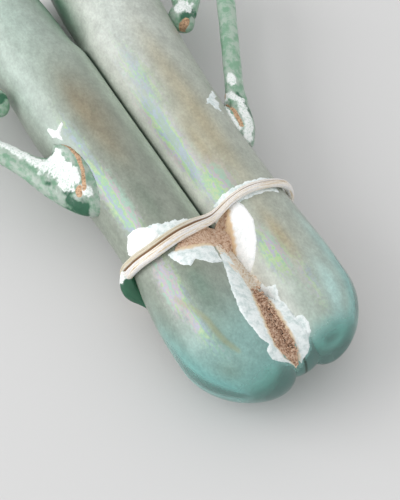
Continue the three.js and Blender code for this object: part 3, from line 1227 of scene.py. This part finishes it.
def soil_pieces(skin):
    """Burial soil, which still fills parts of the groove."""
    lower = soil_lift(skin, soil_level, 0.3)
    upper = soil_lift(skin, soil_level, 0.2)
    fill = soil_lift(skin, lambda along, x: SOIL["under_slab"], 0.08)
    return [
        sheet("soil_lower", skin.above, LOWER_SOIL, 0.2, lower),
        sheet("soil_upper", skin.above, UPPER_SOIL, 0.22, upper),
        sheet("groove_fill", skin.above, GROOVE_FILL, 0.26, fill),
    ]


def soil_stain(point):
    """How strongly the soil in the groove has stained the crust there."""
    along = point.y - BASE_Y
    by_soil = max(inside_by(along, point.x, outline) for outline in (LOWER_SOIL, UPPER_SOIL))
    return step(-1.1, 0.3, by_soil + 0.4 * ripple(along, point.x))


GRAINS = {"count": 330, "along": (3.4, 22.5), "x": (-5.2, 0.2), "radius": (0.16, 0.34)}


def soil_grains(skin):
    """Loose grains on the soil, each a dented pebble."""
    draw = random.Random(11)
    bm = bmesh.new()
    for _ in range(GRAINS["count"]):
        along, x, size = [draw.uniform(*GRAINS[name]) for name in ("along", "x", "radius")]
        if inside_by(along, x, LOWER_SOIL) < 0.25:
            continue
        spot, normal = skin.above(along, x)
        height = max(spot.z + 0.2, soil_level(along, x)) + draw.uniform(0.0, 0.3)
        grown = bmesh.ops.create_icosphere(bm, subdivisions=2, radius=size)["verts"]
        for vert in grown:
            vert.co *= 1 + 0.5 * ripple(*(vert.co / size + Vector((along, x, 0)) * 7))
        bmesh.ops.translate(bm, vec=(x, BASE_Y + along, height), verts=grown)
    return finished("soil_grains", bm)


# ---- the camera, the table and the light ----

CAMERA = {"azimuth": -30.5, "elevation": 57.0, "distance": 425.0, "lens": 131.0}
CAMERA_TARGET = Vector((-4, -27, 12))
SKY_STRENGTH = 0.93
WINDOW = {"direction": (-0.86, 0.46, 0.42), "distance": 1.8, "size": 1.5, "power": 23.5}


def camera():
    """Looks down on the base end, from the left."""
    azimuth, elevation = [math.radians(CAMERA[name]) for name in ("azimuth", "elevation")]
    back = Vector(
        (
            math.sin(azimuth) * math.cos(elevation),
            -math.cos(azimuth) * math.cos(elevation),
            math.sin(elevation),
        )
    )
    data = bpy.data.cameras.new("camera")
    data.lens = CAMERA["lens"]
    data.sensor_width = 36
    data.clip_start = 0.01
    eye = bpy.data.objects.new("camera", data)
    eye.location = (CAMERA_TARGET + back * CAMERA["distance"]) * MM
    eye.rotation_euler = back.to_track_quat("Z", "Y").to_euler()
    bpy.context.scene.collection.objects.link(eye)
    bpy.context.scene.camera = eye


def lamp(name, direction, distance, size, power):
    """A square soft light that faces the object. Its distance and size are in metres."""
    data = bpy.data.lights.new(name, "AREA")
    data.size = size
    data.energy = power
    light = bpy.data.objects.new(name, data)
    toward = Vector(direction).normalized()
    light.location = toward * distance
    light.rotation_euler = toward.to_track_quat("Z", "Y").to_euler()
    bpy.context.scene.collection.objects.link(light)


def studio():
    """A pale even sky and one large window, to the left of the mouths."""
    world = bpy.data.worlds.new("studio")
    bpy.context.scene.world = world
    world.use_nodes = True
    sky = world.node_tree.nodes["Background"]
    sky.inputs["Color"].default_value = (1.0, 1.0, 1.0, 1)
    sky.inputs["Strength"].default_value = SKY_STRENGTH
    lamp("window", **WINDOW)
    bpy.context.scene.view_settings.view_transform = "Standard"


# ---- materials ----

# Inputs are given by name, or by number where that is shorter. Map Range: 0 is the value, 1 and
# 2 the range it comes from, 3 and 4 the range it goes to. Mix: 0 is the share, 6 and 7 are the
# colours. Math: they stand in the order of the formula.
SMOOTH = {"interpolation_type": "SMOOTHSTEP"}
COLOURS = {"out": 2, "data_type": "RGBA"}


def add(tree, kind, inputs=None, out=0, stops=(), **settings):
    """Adds a node with its settings, sets or links its inputs, and gives back one of its
    outputs. stops are the places and colours of a colour ramp."""
    node = tree.nodes.new("ShaderNode" + kind)
    for name, value in settings.items():
        setattr(node, name, value)
    for key, value in (inputs or {}).items():
        if isinstance(value, bpy.types.NodeSocket):
            tree.links.new(value, node.inputs[key])
        else:
            node.inputs[key].default_value = value
    elements = node.color_ramp.elements if stops else ()
    while len(elements) < len(stops):
        elements.new(0.5)
    for element, (at, hexed) in zip(elements, stops):
        element.position = at
        element.color = colour(hexed)
    return node.outputs[out] if node.outputs else None


def new_material(name):
    material = bpy.data.materials.new(name)
    material.use_nodes = True
    material.node_tree.nodes.clear()
    return material, material.node_tree


def ended(material, surface, clear=None):
    """Ends a material in its surface, over a clear body of (tint, density) or none."""
    tree = material.node_tree
    ends = {"Surface": surface}
    if clear:
        tint, density = clear
        ends["Volume"] = add(tree, "VolumeAbsorption", {"Color": colour(tint), "Density": density})
    add(tree, "OutputMaterial", ends)
    return material


def cloud(tree, size, detail=4, roughness=0.6):
    """Noise with lumps of this size, in millimetres across, along and up."""
    place = add(tree, "TexCoord", out="Object")
    scale = tuple(1 / (part * MM) for part in size)
    placed = add(tree, "Mapping", {"Vector": place, "Scale": scale})
    look = {"Vector": placed, "Scale": 1.0, "Detail": detail, "Roughness": roughness}
    return add(tree, "TexNoise", look, out="Fac")


def layered(tree, pattern, *others):
    """A pattern with others laid over it, each given with its share."""
    for other, share in others:
        pattern = add(tree, "Math", {0: other, 1: share, 2: pattern}, operation="MULTIPLY_ADD")
    return pattern


def coat_share(tree, name, low, high, most=1.0, grain=None):
    """How much of a coat shows, where the mesh's value of this name rises from low to high. A
    grain of (pattern, share) breaks up its edge."""
    share = add(tree, "Attribute", out="Fac", attribute_name=name)
    if grain:
        share = layered(tree, share, grain)
    return add(tree, "MapRange", {0: share, 1: low, 2: high, 3: 0.0, 4: most}, **SMOOTH)


def shaded(tree, tone, pattern, low, high):
    """Darkens and lightens a colour by a pattern, between two strengths."""
    grey = add(tree, "MapRange", {0: pattern, 1: 0.3, 2: 0.7, 3: low, 4: high}, **SMOOTH)
    grey = add(tree, "CombineColor", {0: grey, 1: grey, 2: grey})
    return add(tree, "Mix", {0: 1.0, 6: tone, 7: grey}, blend_type="MULTIPLY", **COLOURS)


def table_paper():
    """Matt pale paper, which the flask lies on."""
    material, tree = new_material("matt_pale_paper")
    look = {"Base Color": colour("#cfcfcf"), "Roughness": 0.9, "Specular IOR Level": 0.2}
    return ended(material, add(tree, "BsdfPrincipled", look))


def rainbow_film_and_painted_light(tree, mottle, grain, specks, bands):
    """The body's film, silky and cloudy, with rainbow colours where its layers are even. Its colours
    hold painted highlights and shade, and the rainbow is painted as a sheen where the lamp's reflection
    falls.
    """
    film = add(tree, "Attribute", out="Color", attribute_name="film")
    for pattern, low, high in ((mottle, 0.88, 1.1), (grain, 0.92, 1.07), (specks, 0.93, 1.06)):
        film = shaded(tree, film, pattern, low, high)
    hues = layered(tree, bands, (mottle, 0.35), (specks, 0.3))
    stops = (
        (0.64, "#9cb8a8"),
        (0.72, "#a4b1cd"),
        (0.77, "#98cb9f"),
        (0.83, "#b9d394"),
        (0.88, "#b2b3cd"),
        (0.93, "#c6b0b4"),
        (0.98, "#9fc4b2"),
    )
    rainbow = add(tree, "ValToRGB", {"Fac": hues}, stops=stops)
    # Painted sheen: the rainbow colours lie where the lamp's reflection falls.
    shine = coat_share(tree, "rainbow", 0.42, 1.05, 0.85, (specks, 0.75))
    film = add(tree, "Mix", {0: shine, 6: film, 7: rainbow}, **COLOURS)
    ridge = coat_share(tree, "ridge", 0.2, 1.0, 0.45)
    return add(tree, "Mix", {0: ridge, 6: film, 7: colour("#a3a06e")}, **COLOURS)


def weathered_glass_with_painted_light():
    """Free-blown soda glass, blue-green, under the film that burial left on it. The film is a stack of
    leached layers, which hides the glass but for the places where it has come off. Its colour also
    holds painted highlights and shade, and a painted shade line down the seam."""
    material, tree = new_material("blown_glass_weathered_painted_light")
    mottle = cloud(tree, (2.6, 4.5, 2.6), 5)
    grain = cloud(tree, (0.5, 0.7, 0.5), 3)
    bands = cloud(tree, (2.2, 26, 2.2), 3, 0.5)
    specks = cloud(tree, (0.8, 1.1, 0.8), 4)
    film = rainbow_film_and_painted_light(tree, mottle, grain, specks, bands)

    bare = coat_share(tree, "bare", 0.3, 1.1, grain=(mottle, 0.4))
    inner = add(tree, "Attribute", out="Fac", attribute_name="inner")
    bare = add(tree, "Math", {0: bare, 1: inner}, operation="MAXIMUM")
    film = add(tree, "Mix", {0: bare, 6: film, 7: colour("#a5dcd5")}, **COLOURS)

    # Painted shade: a thin dark green line down the middle, where the crease between the two tubes lies
    # in shade.
    across = add(tree, "SeparateXYZ", {0: add(tree, "TexCoord", out="Object")})
    across = add(tree, "Math", {0: across}, operation="ABSOLUTE")
    seam = {0: across, 1: 0.12 * MM, 2: 0.5 * MM, 3: 0.85, 4: 0.0}
    seam = add(tree, "MapRange", seam, **SMOOTH)
    film = add(tree, "Mix", {0: seam, 6: film, 7: colour("#3f5f4c")}, **COLOURS)

    relief = layered(tree, grain, (mottle, 0.8), (bands, 0.5))
    look = {
        "Base Color": film,
        "Roughness": add(tree, "MapRange", {0: bare, 3: 0.34, 4: 0.08}, **SMOOTH),
        "Transmission Weight": add(tree, "MapRange", {0: bare, 3: 0.2, 4: 0.8}, **SMOOTH),
        "IOR": 1.5,
        "Normal": add(tree, "Bump", {"Height": relief, "Distance": 0.16 * MM, "Strength": 0.5}),
    }
    return ended(material, add(tree, "BsdfPrincipled", look), ("#8fe0d4", 110.0))


def trail_glass():
    """A glass trail that has weathered right through, so that it looks like cream fibre."""
    material, tree = new_material("glass_trail_weathered_cream")
    across = add(tree, "Attribute", out="Fac", attribute_name="across")
    run = add(tree, "Attribute", out="Fac", attribute_name="run")
    where = add(tree, "CombineXYZ", {0: across, 1: run})
    where = add(tree, "Mapping", {"Vector": where, "Scale": (5, 0.09, 1)})  # 11 mm long
    look = {"Vector": where, "Scale": 1.0, "Detail": 4, "Roughness": 0.65}
    fibres = add(tree, "TexNoise", look, out="Fac")
    stops = (
        (0.33, "#a9855a"),
        (0.40, "#dccbaf"),
        (0.50, "#f3eee6"),
        (0.58, "#e2e3e8"),
        (0.66, "#e3cfa9"),
        (0.76, "#c8b98d"),
    )
    tone = add(tree, "ValToRGB", {"Fac": fibres}, stops=stops)
    x = add(tree, "SeparateXYZ", {0: add(tree, "TexCoord", out="Object")})
    on_left = {0: x, 1: -9 * MM, 2: -1 * MM, 3: 1.0, 4: 0.0}
    on_left = add(tree, "MapRange", on_left, **SMOOTH)
    upper = add(tree, "MapRange", {0: across, 1: 0.05, 2: 0.45}, **SMOOTH)
    ochre = add(tree, "Math", {0: on_left, 1: upper}, operation="MULTIPLY")
    ochre = add(tree, "Math", {0: ochre, 1: 0.6}, operation="MULTIPLY")
    tone = add(tree, "Mix", {0: ochre, 6: tone, 7: colour("#b5ab86")}, **COLOURS)
    crease = coat_share(tree, "crease", 0.2, 0.75)
    tone = add(tree, "Mix", {0: crease, 6: tone, 7: colour("#8a6a48")}, **COLOURS)
    fine = cloud(tree, (0.35, 0.35, 0.35), 3)
    relief = layered(tree, fibres, (fine, 0.3))
    rough = {0: fibres, 1: 0.3, 2: 0.7, 3: 0.45, 4: 0.65}
    look = {
        "Base Color": shaded(tree, tone, fine, 0.9, 1.04),
        "Roughness": add(tree, "MapRange", rough, **SMOOTH),
        "Normal": add(tree, "Bump", {"Height": relief, "Distance": 0.25 * MM, "Strength": 0.7}),
    }
    return ended(material, add(tree, "BsdfPrincipled", look))


def handle_glass():
    """Drawn soda glass, jade green, frosted by weathering, with chalky crust and soil on it."""
    material, tree = new_material("drawn_glass_jade")
    fine = cloud(tree, (0.5, 0.5, 0.5), 4)
    frost = cloud(tree, (1.6, 2.4, 1.6), 5)
    frost = add(tree, "MapRange", {0: frost, 1: 0.38, 2: 0.6}, **SMOOTH)
    tone = {0: frost, 6: colour("#93c2a4"), 7: colour("#cfdfd3")}
    tone = add(tree, "Mix", tone, **COLOURS)
    dark = coat_share(tree, "dark", 0.2, 0.8)
    tone = add(tree, "Mix", {0: dark, 6: tone, 7: colour("#2f7355")}, **COLOURS)

    chalks = ((0.33, "#b9cdbf"), (0.47, "#e2e9e6"), (0.65, "#f3f5f4"))
    earths = ((0.35, "#8a6a50"), (0.6, "#cdaa88"))
    crust = coat_share(tree, "crust", 0.62, 1.25, grain=(fine, 0.9))
    soil = coat_share(tree, "soil", 0.45, 0.85, grain=(fine, 0.3))
    for share, stops in ((crust, chalks), (soil, earths)):
        tint = add(tree, "ValToRGB", {"Fac": fine}, stops=stops)
        tone = add(tree, "Mix", {0: share, 6: tone, 7: tint}, **COLOURS)
    solid = add(tree, "Math", {0: crust, 1: soil}, operation="MAXIMUM")
    look = {
        "Base Color": tone,
        "Roughness": add(tree, "MapRange", {0: solid, 3: 0.28, 4: 0.75}, **SMOOTH),
        "Transmission Weight": add(tree, "MapRange", {0: solid, 3: 0.5, 4: 0.0}, **SMOOTH),
        "IOR": 1.5,
        "Normal": add(tree, "Bump", {"Height": fine, "Distance": 0.15 * MM, "Strength": 0.5}),
    }
    return ended(material, add(tree, "BsdfPrincipled", look), ("#a6dcb4", 120.0))


def chalky_crust(name, light, shadow, stained):
    """Leached glass that has turned to a chalky crust of many thin leaves."""
    material, tree = new_material(name)
    leaves = cloud(tree, (1.6, 1.6, 1.6), 5)
    fine = cloud(tree, (0.35, 0.35, 0.35), 3)
    stops = ((0.36, shadow), (0.55, light), (0.7, light))
    tone = add(tree, "ValToRGB", {"Fac": leaves}, stops=stops)
    stain = coat_share(tree, "stain", 0.15, 0.95)
    tone = add(tree, "Mix", {0: stain, 6: tone, 7: colour(stained)}, **COLOURS)
    relief = layered(tree, leaves, (fine, 0.5))
    look = {
        "Base Color": shaded(tree, tone, fine, 0.92, 1.03),
        "Roughness": 0.62,
        "Normal": add(tree, "Bump", {"Height": relief, "Distance": 0.2 * MM, "Strength": 0.5}),
    }
    return ended(material, add(tree, "BsdfPrincipled", look))


def burial_soil(name, dark, middle, light):
    """Sandy burial soil, caked dry, with dark crumbs and pale grains of crust in it."""
    material, tree = new_material(name)
    crumbs = cloud(tree, (0.55, 0.55, 0.55), 4, 0.7)
    stops = ((0.34, dark), (0.47, middle), (0.6, light), (0.72, "#e9d8c4"))
    look = {
        "Base Color": add(tree, "ValToRGB", {"Fac": crumbs}, stops=stops),
        "Roughness": 0.9,
        "Normal": add(tree, "Bump", {"Height": crumbs, "Distance": 0.4 * MM, "Strength": 0.8}),
    }
    return ended(material, add(tree, "BsdfPrincipled", look))


# ---- building it ----


def table():
    """A paper sheet far wider than the view."""
    bm = bmesh.new()
    bmesh.ops.create_grid(bm, x_segments=1, y_segments=1, size=3000)
    floor = finished("table", bm)
    floor.data.materials.append(table_paper())


camera()
studio()
table()

pair = filled_pair()
body = blown_body(pair)
weather(body)
keep(body, weathered_glass_with_painted_light(), "body_glass", "double_tube")
skin = Skin(body)

keep(trail_band(), trail_glass(), "trail_glass", "wound_trail")
jade = handle_glass()
keep(trail_drop(), jade, "trail_glass")

keep(handle("left_handle_glass", -1, LEFT_FOOT, pair), jade, "handle_glass", "left_handle")
keep(handle("right_handle_glass", 1, RIGHT_FOOT, pair), jade, "handle_glass", "right_handle")
bpy.data.objects.remove(pair)

chalk = chalky_crust("chalky_crust_white", "#f6f7f7", "#e6eaea", "#e0c6a2")
thin = chalky_crust("chalky_crust_thin", "#e8efef", "#c8d6d5", "#dcc6a6")
for piece in crust_pieces(skin):
    attribute(piece, "stain", soil_stain)
    white = piece.name.startswith(("chalk", "foot_chalk"))
    keep(piece, chalk if white else thin, "body_glass")

brown = burial_soil("burial_soil_brown", "#75573f", "#b8937a", "#dcc0a8")
pink = burial_soil("burial_soil_pink", "#9c7759", "#cfae95", "#e3cbb5")
cream = burial_soil("crust_stained_cream", "#c9ab88", "#e4d6c2", "#efe9df")
soils = {"soil_lower": brown, "soil_grains": brown, "soil_upper": pink, "groove_fill": cream}
for piece in (*soil_pieces(skin), soil_grains(skin)):
    keep(piece, soils[piece.name], "body_glass")
